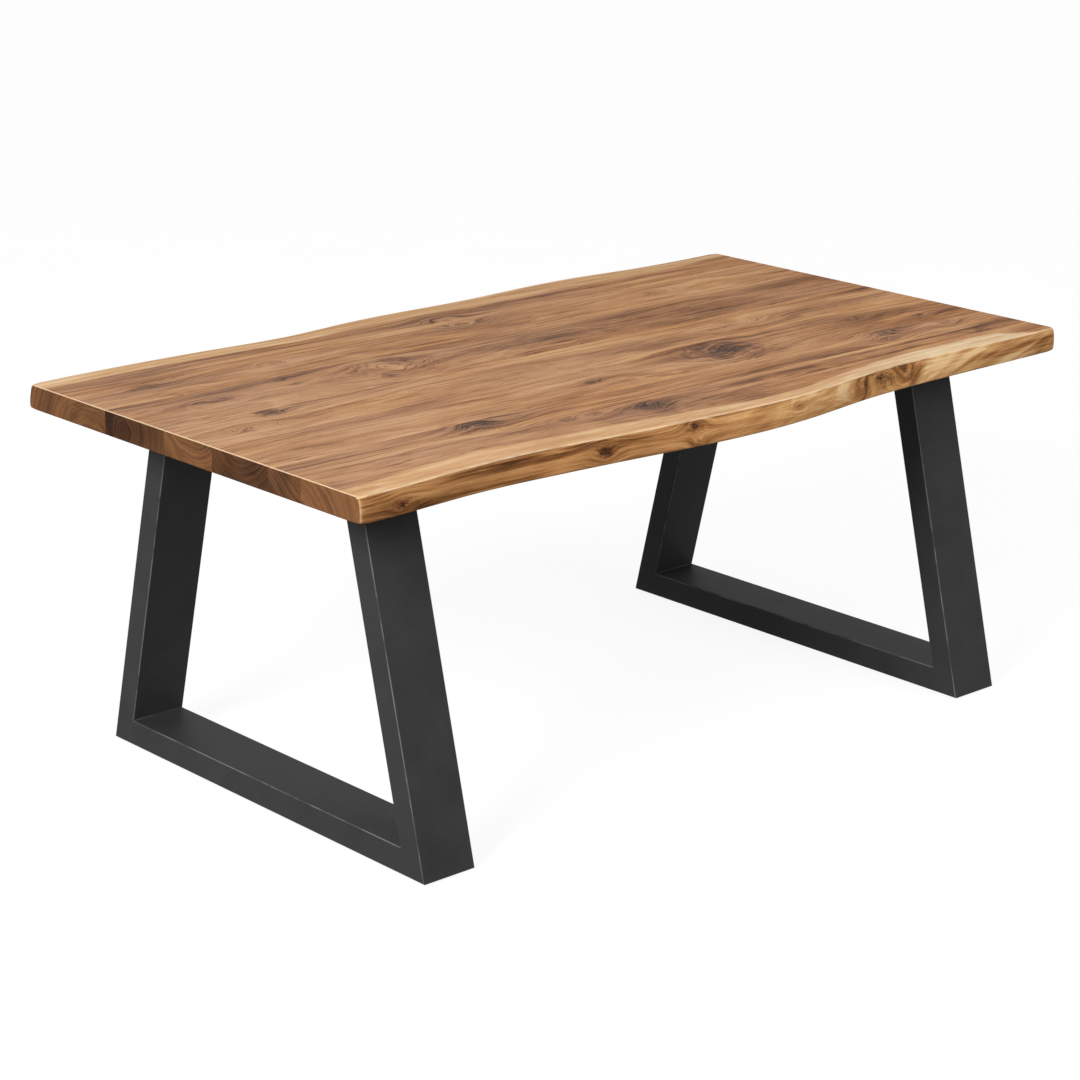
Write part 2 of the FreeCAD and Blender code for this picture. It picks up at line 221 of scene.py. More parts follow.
def makeKnotGroup():  # bends the grain round a knot, with its core, stained halo and dark lines
    tree, got, give = newGroup(
        "knot in the grain",
        ("Position", "Along", "Across", "Size", "Stretch", "Swell"),
        ("Position", "Core", "Halo", "Rim", "Rings"))
    look, position, size = knotLook, got["Position"], got["Size"]
    x, y, z = split(tree, position)
    square = times(tree, size, size)
    along = divide(tree, minus(tree, x, got["Along"]), got["Stretch"])
    across = minus(tree, y, got["Across"])
    acrossSquare = times(tree, across, across)
    near = timesPlus(tree, along, along, acrossSquare)

    # the grain spreads round the knot, and swells to one side of it
    spread = times(tree, across, fading(tree, near, square, look["bendReach"]))
    bent = minus(tree, y, times(tree, spread, look["bend"]))
    rise = fading(tree, near, square, look["swellReach"])
    bent = timesPlus(tree, rise, times(tree, size, got["Swell"]), bent)

    # its own outline is ragged, at a scale that goes with its size
    fine = divide(tree, 0.9, size)
    ragged = cloud(tree, position, fine, 3, 0.6)
    lumpy = drawnCloud(tree, position, (1, 1, 1), 9.0, 3, 0.6, scale=fine)
    cracks = drawnCloud(tree, position, (0.5, 2.4, 2.4), 3.0, 3, 0.6, scale=fine)
    reach = times(tree, size, look["rough"])
    roughAlong = timesPlus(tree, minus(tree, ragged, 0.5), reach, along)
    roughAcross = timesPlus(tree, minus(tree, lumpy, 0.5), reach, across)
    distance = timesPlus(tree, roughAlong, roughAlong, times(tree, roughAcross, roughAcross))
    distance = divide(tree, calc(tree, "SQRT", distance), size)
    worn = ease(tree, cracks, 0.34, 0.60, 0.30, 1.0)
    core = times(tree, ease(tree, distance, 1.30, 0.20), worn)
    tail = times(tree, timesPlus(tree, size, look["haloShift"], along), look["haloSqueeze"])
    wide = timesPlus(tree, tail, tail, acrossSquare)
    worn = ease(tree, cracks, 0.30, 0.62, 0.45, 1.15)
    halo = times(tree, fading(tree, wide, square, look["haloReach"]), worn)
    rim = divide(tree, minus(tree, distance, look["rimAt"]), look["rimWidth"])
    rim = calc(tree, "EXPONENT", times(tree, times(tree, rim, rim), -1.0))
    rim = times(tree, rim, ease(tree, lumpy, 0.40, 0.58))

    # smooth rings round it, closer together than it is wide and worn away here and there
    farOut = divide(tree, calc(tree, "SQRT", near), size)
    gentle = cloud(tree, position, divide(tree, 0.42, size), 1, 0.5)
    wavy = timesPlus(tree, gentle, look["ringWave"], farOut)
    rings = calc(tree, "PINGPONG", wavy, look["ringGap"])
    rings = times(tree, ease(tree, rings, 0.09, 0.20), ease(tree, farOut, 3.0, 1.3))
    rings = times(tree, rings, ease(tree, lumpy, 0.34, 0.60, 0.25, 0.9))
    bentPlace = point(tree, x, bent, z)
    feedAll(tree, give, {
        "Position": bentPlace, "Core": core, "Halo": halo, "Rim": rim, "Rings": rings})
    return tree


def makeFigureGroup():  # growth rings about a wandering pith, and lines along the board
    tree, got, give = newGroup(
        "board figure",
        ("Position", "Pith Y", "Pith Z", "Tilt", "Ring", "Seed"),
        ("Rings", "Growth", "Streaks", "Lines", "Bands", "Fibre", "Pores"))
    position, seed = got["Position"], got["Seed"]
    x, y, z = split(tree, position)

    # distance from the pith, which bows, lifts and leans along the board
    bow = cloud(tree, point(tree, timesPlus(tree, x, 1.1, seed), 0.0, 0.0), detail=1)
    lift = cloud(tree, point(tree, timesPlus(tree, x, 1.7, seed), 6.0, 0.0), detail=2)
    lean = timesPlus(tree, got["Tilt"], x, got["Pith Y"])
    across = minus(tree, y, addUp(tree, lean, (bow, 0.5, 0.05)))
    below = minus(tree, z, addUp(tree, got["Pith Z"], (lift, 0.5, 0.06)))
    radius = calc(tree, "SQRT", timesPlus(tree, across, across, times(tree, below, below)))
    warp = drawnCloud(tree, position, (2.6, 15, 15), seed, 4, 0.6)
    radius = addUp(tree, radius, (warp, 0.5, 0.026))

    # rings of uneven width, darkest at the end of each year and faint in places
    uneven = cloud(tree, point(tree, times(tree, radius, 70), seed, 0.0), detail=3)
    turns = timesPlus(tree, uneven, 3.0, divide(tree, radius, got["Ring"]))
    year = calc(tree, "FRACT", turns)
    rings = times(tree, ease(tree, year, 0.15, 0.95), ease(tree, year, 1.0, 0.90))
    faint = drawnCloud(tree, position, (3, 30, 30), seed, 2)
    rings = times(tree, rings, ease(tree, faint, 0.35, 0.62, 0.25, 1.0))
    growth = point(tree, times(tree, radius, 190), seed, times(tree, across, 7))

    # streaks along the board, which wander and follow the rings a little
    meander = drawnCloud(tree, position, (2.2, 7, 7), seed, 4)
    ripple = drawnCloud(tree, position, (7, 18, 18), seed, 3)
    wander = addUp(tree, y, (meander, 0.5, 0.055), (ripple, 0.5, 0.016))
    lane = timesPlus(tree, radius, 0.65, timesPlus(tree, y, -0.38, wander))
    flow = point(tree, x, lane, z)
    course = point(tree, x, timesPlus(tree, radius, 0.2, wander), z)
    thin = drawnCloud(tree, course, (3.8, 330, 120), seed, 4, 0.65)
    pores = drawnCloud(tree, position, (60, 1500, 1500), seed, 1)
    feedAll(tree, give, {
        "Rings": rings,
        "Growth": cloud(tree, growth, 1.0, 4, 0.62),
        "Streaks": drawnCloud(tree, flow, (1.7, 66, 30), seed, 5, 0.64),
        "Lines": ease(tree, thin, 0.49, 0.68),
        "Bands": drawnCloud(tree, flow, (1.1, 17, 8), seed, 2, 0.5),
        "Fibre": drawnCloud(tree, position, (12, 700, 700), seed, 3, 0.65),
        "Pores": ease(tree, pores, 0.58, 0.72),
    })
    return tree


def makeStainGroup():  # a long soft streak of darker or paler wood
    tree, got, give = newGroup(
        "stain streak", ("Position", "Along", "Across", "Length", "Width"), ("Amount",))
    x, y, z = split(tree, got["Position"])
    along = divide(tree, minus(tree, x, got["Along"]), got["Length"])
    across = divide(tree, minus(tree, y, got["Across"]), got["Width"])
    near = timesPlus(tree, along, along, times(tree, across, across))
    soft = calc(tree, "EXPONENT", times(tree, near, -1.0))
    broken = drawnCloud(tree, got["Position"], (9, 170, 40), 0.0, 4, 0.6)
    broken = ease(tree, broken, 0.33, 0.62, 0.25, 1.0)
    feed(tree, give["Amount"], times(tree, soft, broken))
    return tree


def makeHeartwoodGroup():  # tone 0 dark to 1 pale, warmth 0 grey brown to 1 golden
    tree, got, give = newGroup("heartwood colour", ("Tone", "Warmth"), ("Color",))
    tone = ease(tree, got["Tone"], -0.30, 1.30)  # so that the darkest streaks never run together
    grey, gold = ramp(tree, tone, woodRamps["grey"]), ramp(tree, tone, woodRamps["gold"])
    feed(tree, give["Color"], tint(tree, got["Warmth"], grey, gold))
    return tree


knotGroup = makeKnotGroup()
figureGroup = makeFigureGroup()
stainGroup = makeStainGroup()
heartwoodGroup = makeHeartwoodGroup()
print("wood groups made")


# the boards

top = {"end": 0.930, "surface": 0.755, "arris": 0.003}

woodLook = {
    "knotCore": (74, 58, 50), "knotCover": 0.80, "warmthDrift": 0.36,
    "rubbedHighlight": (248, 218, 178), "rubbedHighlightCover": 0.75,  # the arrises: a painted highlight, where the oil is also rubbed thin
    "roughness": 0.62, "shine": 0.06, "bump": 0.35, "bumpDepth": 0.0004}

# the middle of each output of the figure, and how much each counts in a tone
figureMiddles = {
    "Streaks": 0.5, "Bands": 0.5, "Growth": 0.5, "Fibre": 0.5, "Lines": 0.25, "Rings": 0.2,
    "Pores": 0}
figureWeights = {
    "top": {
        "Streaks": 1.95, "Bands": 0.95, "Fibre": 0.75, "Lines": -0.52, "Rings": -0.14,
        "Pores": -0.10},
    "sawnEnd": {"Growth": 0.75, "Bands": 0.7, "Rings": -0.06, "Fibre": 0.30, "Pores": -0.10},
    "sapwood": {"Streaks": 1.5, "Bands": 0.5, "Lines": -0.26, "Fibre": 0.6},
}

# knots: along, across, size, stretch, dark (0 is an eye in the grain with no dark middle), swell
# stains: along, across, length, width, darkening (below 0 it is paler), in grain bent by the knots
# drift: change of the tone for each metre along the board
# endTone: tone of the sawn end on the middle line, and its change for each metre across
boards = {
    "top_board_2": {
        "slot": "board_2_wood", "pith": (0.3, 0.64), "tilt": 0.01, "ring": 0.0085, "seed": 2.3,
        "tone": 0.58, "drift": -0.02, "warmth": 0.5, "endTone": (0.4, 0.0),
        "knots": [
            (0.012, 0.34, 0.013, 2.2, 0.0, 1.8), (-0.485, 0.34, 0.012, 1.8, 0.1, -1.8),
            (-0.725, 0.352, 0.006, 3.0, 0.25, 1.0), (-0.79, 0.334, 0.006, 2.6, 0.3, -1.0),
            (0.56, 0.3, 0.01, 3.0, 0.0, 1.6)],
        "stains": [
            (0.2, 0.262, 0.3, 0.01, 0.12), (0.55, 0.31, 0.3, 0.014, -0.08),
            (-0.3, 0.335, 0.1, 0.014, 0.1), (-0.77, 0.34, 0.07, 0.022, 0.14),
            (0.02, 0.3, 0.34, 0.06, -0.07)],
    },
    "top_board_3": {
        "slot": "board_3_wood", "pith": (0.176, 0.727), "tilt": -0.015, "ring": 0.0075, "seed": 5.1,
        "tone": 0.47, "drift": -0.02, "warmth": 0.45, "endTone": (0.38, -1.75),
        "knots": [
            (-0.317, 0.165, 0.025, 1.7, 0.12, 0.4), (-0.368, 0.138, 0.011, 0.9, 1.0, -0.8),
            (-0.548, 0.214, 0.007, 1.2, 0.45, 0.3), (-0.548, 0.174, 0.005, 1.6, 1.0, 0.8),
            (-0.724, 0.168, 0.008, 2.6, 0.8, 1.0)],
        "stains": [
            (-0.74, 0.208, 0.3, 0.026, 0.2), (-0.292, 0.187, 0.035, 0.012, 0.38),
            (-0.52, 0.2165, 0.2, 0.008, -0.32), (-0.32, 0.209, 0.1, 0.008, -0.24),
            (0.9, 0.222, 0.06, 0.012, 0.3), (0.66, 0.14, 0.3, 0.04, 0.06),
            (-0.45, 0.15, 0.1, 0.02, 0.12), (-0.325, 0.17, 0.16, 0.04, 0.08),
            (-0.32, 0.168, 0.03, 0.014, -0.4), (-0.4, 0.176, 0.05, 0.012, 0.24),
            (-0.258, 0.152, 0.06, 0.008, 0.28), (-0.31, 0.126, 0.07, 0.006, 0.18)],
    },
    "top_board_4": {
        "slot": "board_4_wood", "pith": (-0.01, 0.8), "tilt": 0.012, "ring": 0.008, "seed": 8.7,
        "tone": 0.63, "drift": -0.02, "warmth": 0.48, "endTone": (0.4, 0.0),
        "knots": [
            (-0.712, 0.03, 0.014, 1.5, 1.0, 0.9), (0.4, -0.027, 0.005, 6.0, 0.8, 0.8),
            (-0.79, -0.03, 0.012, 2.6, 0.0, -1.6), (0.48, -0.01, 0.01, 3.0, 0.0, 1.4)],
        "stains": [
            (0.9, 0.04, 0.06, 0.014, 0.26), (-0.66, 0.035, 0.12, 0.018, 0.12),
            (0.0, 0.02, 0.5, 0.012, 0.08), (0.38, -0.03, 0.2, 0.01, 0.16),
            (-0.712, 0.042, 0.025, 0.007, 0.35)],
    },
    "top_board_5": {
        "slot": "board_5_wood", "pith": (-0.172, 0.812), "tilt": -0.008, "ring": 0.007,
        "seed": 11.2,
        "tone": 0.62, "drift": -0.05, "warmth": 0.48, "endTone": (0.19, 0.0),
        "knots": [
            (0.268, -0.166, 0.036, 1.4, 0.7, 0.3), (0.312, -0.228, 0.015, 1.0, 0.65, -0.5),
            (-0.101, -0.186, 0.006, 2.0, 0.55, 1.0), (-0.045, -0.112, 0.005, 3.0, 0.7, 1.0),
            (0.677, -0.156, 0.01, 3.0, 0.1, 1.2), (0.801, -0.217, 0.008, 2.0, 0.5, 1.0)],
        "stains": [
            (0.28, -0.168, 0.08, 0.05, 0.36), (0.6, -0.2, 0.22, 0.03, -0.04),
            (-0.45, -0.215, 0.2, 0.014, 0.1), (0.17, -0.158, 0.07, 0.014, 0.24),
            (0.37, -0.205, 0.07, 0.012, 0.24)],
    },
    "top_board_6": {
        "slot": "board_6_wood", "pith": (-0.38, 0.83), "tilt": 0.014, "ring": 0.008, "seed": 14.9,
        "tone": 0.53, "drift": -0.01, "warmth": 0.5, "endTone": (0.26, 0.0),
        "knots": [
            (-0.482, -0.274, 0.015, 1.2, 1.0, -1.0), (0.625, -0.27, 0.017, 1.3, 1.0, -1.1),
            (0.79, -0.3, 0.012, 1.7, 0.6, 1.2), (-0.395, -0.28, 0.005, 2.0, 0.3, 0.4),
            (-0.505, -0.308, 0.011, 1.7, 0.15, -0.8), (0.58, -0.308, 0.011, 1.7, 0.15, 0.8)],
        "stains": [
            (0.4, -0.268, 0.3, 0.012, -0.4), (-0.2, -0.318, 0.25, 0.01, 0.12),
            (0.3, -0.318, 0.3, 0.012, 0.38), (-0.8, -0.3, 0.22, 0.015, 0.1),
            (-0.6, -0.3, 0.3, 0.045, 0.08), (0.64, -0.31, 0.09, 0.028, 0.12),
            (0.8, -0.335, 0.12, 0.01, 0.18), (0.15, -0.334, 0.3, 0.008, 0.26),
            (0.2, -0.284, 0.3, 0.01, -0.14)],
    },
}


def addFigure(tree, start, figure, weights):
    terms = [(figure[name], figureMiddles[name], weight) for name, weight in weights.items()]
    return addUp(tree, start, *terms)


def addKnots(tree, position, knots, reach=None):  # reach: where those on the live edge show
    cores = halos = lines = None
    for along, across, size, stretch, dark, swell in knots:
        if reach is not None:
            size = timesPlus(tree, reach, size, 0.0002)
        knot = useGroup(tree, knotGroup, {
            "Position": position, "Along": along, "Across": across, "Size": size,
            "Stretch": stretch, "Swell": swell})
        position = knot["Position"]
        core = times(tree, knot["Core"], dark)
        halo = times(tree, knot["Halo"], 0.35 + 0.65 * dark)
        rings = times(tree, knot["Rings"], 1.3 - 0.8 * dark)  # plainest round an eye
        line = larger(tree, times(tree, knot["Rim"], dark), rings)
        cores = core if cores is None else larger(tree, cores, core)
        halos = halo if halos is None else larger(tree, halos, halo)
        lines = line if lines is None else larger(tree, lines, line)
    return position, cores, halos, lines


def addStains(tree, position, stains):
    total = None
    for along, across, length, width, darkening in stains:
        stain = useGroup(tree, stainGroup, {
            "Position": position, "Along": along, "Across": across, "Length": length,
            "Width": width})
        amount = times(tree, stain["Amount"], darkening)
        total = amount if total is None else calc(tree, "ADD", total, amount)
    return total


def heartwood(tree, place, knots, figure, values):
    x = split(tree, place)["X"]
    position, cores, halos, lines = knots
    stains = addStains(tree, position, values["stains"])
    wide = drawnCloud(tree, place, (1.6, 3.2, 0.0), detail=2)  # the same over the whole top
    blotch = drawnCloud(tree, position, (5.0, 19.0, 6.0), values["seed"])  # each board's own
    tone = timesPlus(tree, x, values["drift"], values["tone"])
    tone = addFigure(tree, tone, figure, figureWeights["top"])
    tone = addUp(
        tree, tone, (wide, 0.5, 0.50), (blotch, 0.5, 0.75), (halos, 0, -0.29), (lines, 0, -0.46),
        (stains, 0, -1.25))
    hue = drawnCloud(tree, place, (2.0, 9.0, 0.0), 4.0)
    warmth = timesPlus(tree, x, woodLook["warmthDrift"], values["warmth"])
    warmth = addUp(tree, warmth, (hue, 0.5, 1.6), (figure["Bands"], 0.5, 0.8), (halos, 0, -0.35))
    colour = useGroup(tree, heartwoodGroup, {"Tone": tone, "Warmth": warmth})["Color"]
    cover = times(tree, cores, woodLook["knotCover"])
    return tint(tree, cover, colour, linear(*woodLook["knotCore"]))


def endGrain(tree, y, figure, values):  # sawn ends drink more oil: darker, with plainer rings
    middle, lean = values["endTone"]
    tone = timesPlus(tree, y, lean, middle)
    tone = addFigure(tree, tone, figure, figureWeights["sawnEnd"])
    return ramp(tree, tone, woodRamps["sawnEnd"])


def endsAndArrisHighlight(tree, x, z):  # masks of the sawn ends, and of the arris along their top that takes the painted highlight
    reach = calc(tree, "ABSOLUTE", x)
    ends = ease(tree, reach, top["end"] - 0.0022, top["end"] - 0.0008)
    outer = ease(tree, reach, top["end"] - 0.0024, top["end"] - 0.0016)
    upper = ease(tree, z, top["surface"] - 0.0017, top["surface"] - 0.0010)
    return ends, times(tree, outer, upper)


def finishWood(tree, shader, figure, colour, ends, arris, coarse=None):
    # the arris mask lays a pale painted highlight over the wood colour
    rubbedHighlight = times(tree, arris, woodLook["rubbedHighlightCover"])
    height = addUp(tree, figure["Fibre"], (figure["Pores"], 0, -0.8), (figure["Lines"], 0, -0.4))
    if coarse is not None:
        height = calc(tree, "ADD", height, coarse)
    feedAll(tree, shader.inputs, {
        "Base Color": tint(tree, rubbedHighlight, colour, linear(*woodLook["rubbedHighlight"])),
        "Roughness": addUp(
            tree, woodLook["roughness"], (figure["Streaks"], 0.5, -0.25),
            (figure["Pores"], 0, 0.12), (ends, 0, 0.10)),
        "Specular IOR Level": woodLook["shine"],
        "Normal": bump(tree, height, woodLook["bump"], woodLook["bumpDepth"]),
    })


def figureOf(tree, position, values):
    pithY, pithZ = values["pith"]
    return useGroup(tree, figureGroup, {
        "Position": position, "Pith Y": pithY, "Pith Z": pithZ, "Tilt": values["tilt"],
        "Ring": values["ring"], "Seed": values["seed"]})


def plainBoardMaterial(name, values):
    material, tree, shader, place = newMaterial(values["slot"])
    x, y, z = split(tree, place)
    knots = addKnots(tree, place, values["knots"])
    figure = figureOf(tree, knots[0], values)
    colour = heartwood(tree, place, knots, figure, values)
    # arris: where the painted highlight goes along the top of the ends
    ends, arris = endsAndArrisHighlight(tree, x, z)
    colour = tint(tree, ends, colour, endGrain(tree, y, figure, values))
    finishWood(tree, shader, figure, colour, ends, arris)
    dress(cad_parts[name], material)


for name, values in boards.items():
    plainBoardMaterial(name, values)
print("plain boards dressed")


# the two live edge boards, rebuilt finer than the CAD with the log's own relief

liveEdge = {
    "ends": [0.0, 0.0002, 0.0006, 0.0013, 0.0022, 0.0032, 0.0046, 0.0062, 0.0080],  # close stations
    "evenFrom": 0.011, "stations": 610, "levels": 31, "roundSteps": 6, "underSteps": 10,
    "topSteps": 26,
    "corner": 0.008, "sanding": 0.006, "sandingReach": 0.016,  # the four corners are rounder
    "clear": 0.05, "inside": 0.0085, "smooth": 7,  # for reading the CAD's edge
    "follow": 0.65,  # how far the grain follows the wave of the edge
    "slant": -0.28, "core": (50, 31, 21), "coreCover": 1.35}
# the arris attribute holds how strong the painted highlight is along the arrises and corners
liveLabels = ("bark", "arris", "straightY", "belowSap")
relief = {"waves": 0.0013, "ripples": 0.00035, "knot": 0.0022, "collar": 0.0008}

# sapWidth: along, width of the sapwood on the top
# faceKnots, faceStains: as for the top, but across is the height on the live face
# slantStains: the same, with the height measured down the slant that the rings leave the face at
# wild: where along the face the swirls begin, and where they are full
liveBoards = {
    "front_live_edge_board": {
        "piece": "front_live_edge", "slot": "front_board_wood", "outward": -1.0, "seed": 17.4,
        "pith": (-0.3, 0.64), "tilt": 0.0, "ring": 0.0085,
        "tone": 0.57, "drift": 0.0, "warmth": 0.5, "endTone": (0.45, 0.0), "sapTone": 0.56,
        "sapDrift": 0.14,
        "sapWidth": [
            (-0.93, 0.052), (-0.6, 0.064), (-0.35, 0.058), (-0.15, 0.052), (0.05, 0.036),
            (0.25, 0.04), (0.5, 0.048), (0.72, 0.054), (0.8, 0.042), (0.88, 0.0), (0.93, -0.02)],
        "knots": [
            (-0.155, -0.388, 0.014, 1.5, 0.38, 1.0), (-0.266, -0.362, 0.007, 1.8, 0.6, -1.0),
            (-0.33, -0.36, 0.006, 1.8, 0.5, 1.0)],
        "stains": [
            (-0.05, -0.425, 0.3, 0.014, 0.1), (0.35, -0.385, 0.35, 0.022, 0.24),
            (0.75, -0.375, 0.2, 0.012, 0.2), (-0.75, -0.375, 0.25, 0.012, 0.1),
            (-0.16, -0.385, 0.07, 0.03, 0.04), (-0.125, -0.45, 0.012, 0.03, -0.3),
            (0.88, -0.455, 0.06, 0.02, 0.12), (0.3, -0.425, 0.25, 0.01, 0.22),
            (0.74, -0.352, 0.16, 0.014, 0.16), (0.45, -0.405, 0.25, 0.006, 0.5),
            (0.55, -0.366, 0.3, 0.005, 0.5), (0.5, -0.351, 0.3, 0.006, -0.48),
            (0.4, -0.418, 0.3, 0.004, -0.44), (0.78, -0.4, 0.14, 0.006, 0.38),
            (0.15, -0.374, 0.26, 0.008, 0.24), (0.02, -0.41, 0.12, 0.01, 0.16),
            (0.1, -0.393, 0.25, 0.006, -0.28)],
        "faceTone": 0.61, "faceDrift": 0.17, "wild": (-0.2, 0.12),
        "faceKnots": [
            (-0.835, 0.723, 0.006, 1.8, 0.8, 1.0), (-0.368, 0.73, 0.007, 1.5, 1.0, 1.2),
            (-0.158, 0.743, 0.007, 1.5, 0.9, -1.0), (-0.157, 0.722, 0.007, 1.3, 0.4, 1.2),
            (0.113, 0.736, 0.004, 2.0, 0.6, 1.0), (0.304, 0.725, 0.008, 2.8, 0.2, 1.5),
            (0.387, 0.736, 0.009, 2.8, 0.7, -1.4), (0.457, 0.738, 0.01, 1.7, 0.5, 1.4)],
        "faceStains": [
            (-0.9, 0.735, 0.06, 0.02, 0.28), (-0.8, 0.716, 0.1, 0.008, 0.36),
            # the streak at -0.5 along, 0.746 high is painted shade under the overhanging arris,
            # where the face is undercut
            (-0.5, 0.746, 0.22, 0.009, 0.55), (-0.62, 0.712, 0.16, 0.006, 0.2),
            (-0.46, 0.728, 0.1, 0.01, -0.1), (0.02, 0.716, 0.1, 0.008, 0.2),
            (0.1, 0.73, 0.12, 0.02, -0.06), (0.23, 0.736, 0.1, 0.02, -0.24),
            (0.54, 0.736, 0.07, 0.024, -0.54), (0.62, 0.722, 0.06, 0.005, 0.16),
            (0.72, 0.729, 0.07, 0.005, 0.34), (0.82, 0.736, 0.06, 0.005, 0.34),
            (0.67, 0.743, 0.1, 0.01, -0.46), (0.78, 0.716, 0.08, 0.008, -0.36),
            (0.9, 0.73, 0.045, 0.03, 0.36), (0.483, 0.737, 0.018, 0.01, 0.4)],
        "slantStains": [
            (0.335, 0.581, 0.09, 0.005, 0.5), (0.26, 0.6, 0.08, 0.006, -0.2),
            (0.66, 0.489, 0.06, 0.004, 0.32), (0.85, 0.433, 0.07, 0.006, 0.34),
            (0.6, 0.504, 0.06, 0.012, -0.26)],
    },
    "back_live_edge_board": {
        "piece": "back_live_edge", "slot": "back_board_wood", "outward": 1.0, "seed": 20.8,
        "pith": (0.3, 0.66), "tilt": 0.0, "ring": 0.0085,
        "tone": 0.59, "drift": 0.04, "warmth": 0.55, "endTone": (0.4, 0.0), "sapTone": 0.46,
        "sapDrift": 0.03,
        "sapWidth": [
            (-0.93, 0.058), (-0.48, 0.05), (0.0, 0.05), (0.25, 0.058), (0.45, 0.066),
            (0.7, 0.055), (0.93, 0.03)],
        "knots": [
            (0.02, 0.41, 0.012, 2.2, 0.2, -1.6)],
        "stains": [
            (0.06, 0.44, 0.34, 0.012, 0.12), (0.35, 0.395, 0.3, 0.012, 0.12),
            (-0.72, 0.436, 0.3, 0.014, -0.16), (0.06, 0.42, 0.1, 0.016, 0.08)],
        "faceTone": 0.53, "faceDrift": -0.06, "wild": (-0.5, 0.6),
        "faceKnots": [
            (-0.61, 0.728, 0.008, 1.6, 0.9, 1.2), (0.21, 0.737, 0.007, 1.8, 0.7, -1.0),
            (0.64, 0.724, 0.009, 1.5, 0.5, 1.2)],
        "faceStains": [
            (-0.85, 0.73, 0.1, 0.02, 0.2), (-0.2, 0.74, 0.2, 0.01, -0.18),
            (0.45, 0.722, 0.16, 0.01, 0.25)],
        "slantStains": [
            (0.3, 0.506, 0.09, 0.005, 0.4), (0.72, 0.39, 0.07, 0.005, 0.35)],
    },
}


def edgeFromCad(node, outward, stations, levels):  # where the sawn log's edge is, off the CAD board
    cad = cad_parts[node]
    low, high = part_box(node)
    start = (high.y if outward > 0 else low.y) + liveEdge["clear"] * outward
    inside, smooth = liveEdge["inside"], liveEdge["smooth"]
    reach = np.zeros((len(stations), len(levels)))
    for i, x in enumerate(stations):
        along = max(low.x + inside, min(high.x - inside, x))
        for j, z in enumerate(levels):
            hit = cad.ray_cast(Vector((along, start, z)), Vector((0.0, -outward, 0.0)))
            reach[i, j] = hit[1].y
    window = np.hanning(2 * smooth + 3)[1:-1]
    window /= window.sum()
    padded = np.pad(reach, ((smooth, smooth), (0, 0)), mode="edge")
    columns = [np.convolve(padded[:, j], window, mode="valid") for j in range(len(levels))]
    return np.stack(columns, axis=1)


def logRelief(x, z, values):  # how far the surface under the bark dips at a place on the live edge
    seed = values["seed"]
    waves = noise.fractal(Vector((x * 7, z * 40, seed)), 0.9, 2.1, 4)
    ripples = noise.noise(Vector((x * 45, z * 330, seed + 5)))
    depth = relief["waves"] * (0.5 + 0.5 * waves) + relief["ripples"] * (0.5 + 0.5 * ripples)
    for along, height, size, stretch, dark, swell in values["faceKnots"]:
        away = math.hypot((x - along) / stretch, z - height) / size
        depth += relief["knot"] * dark * math.exp(-(away / 0.8) ** 2)
        depth += relief["collar"] * math.exp(-((away - 1.9) / 0.5) ** 2)
    return max(depth, 0.0)


def closedGrid(name, rows, labels=()):  # rows of points round a piece, values after x, y, z
    rows = np.array(rows)
    columns, around = rows.shape[0], rows.shape[1]
    bpy.ops.object.select_all(action="DESELECT")
    bpy.ops.mesh.primitive_grid_add(x_subdivisions=columns - 1, y_subdivisions=around - 1, size=1)
    piece = bpy.context.object
    piece.name = name
    mesh = piece.data
    flat = np.zeros(len(mesh.vertices) * 3)
    mesh.vertices.foreach_get("co", flat)
    flat = flat.reshape(-1, 3)
    column = np.rint((flat[:, 0] + 0.5) * (columns - 1)).astype(int)
    turn = np.rint((flat[:, 1] + 0.5) * (around - 1)).astype(int)
    mesh.vertices.foreach_set("co", rows[column, turn, :3].ravel())
    for place, label in enumerate(labels, 3):
        attribute = mesh.attributes.new(label, "FLOAT", "POINT")
        attribute.data.foreach_set("value", rows[column, turn, place].ravel())
    bpy.ops.object.mode_set(mode="EDIT")
    bpy.ops.mesh.select_mode(type="EDGE")
    bpy.ops.mesh.select_all(action="DESELECT")
    bpy.ops.object.mode_set(mode="OBJECT")
    firstRow, lastRow = turn == 0, turn == around - 1
    for seam in mesh.edges:
        a, b = seam.vertices
        seam.select = bool((firstRow[a] and firstRow[b]) or (lastRow[a] and lastRow[b]))
    bpy.ops.object.mode_set(mode="EDIT")
    bpy.ops.mesh.bridge_edge_loops()  # closes the side between the first and last row
    bpy.ops.mesh.select_all(action="SELECT")
    bpy.ops.mesh.fill_holes(sides=0)  # closes the two ends
    bpy.ops.mesh.normals_make_consistent(inside=False)
    bpy.ops.object.mode_set(mode="OBJECT")
    return piece


def drawIn(radius, fromEnd):  # how far a rounded end draws in at a distance from it
    return radius - math.sqrt(radius ** 2 - max(radius - fromEnd, 0.0) ** 2)


def roundOff(out, up, edgeOut, radius, low, high):  # brings a point inside the rounded edges
    for foot, sign in ((low + radius, -1), (high - radius, 1)):
        a, b = out - (edgeOut - radius), sign * (up - foot)
        away = math.hypot(a, b)
        if a > 0 and b > 0 and away > radius:
            out, up = edgeOut - radius + a * radius / away, foot + sign * b * radius / away
    return out, up


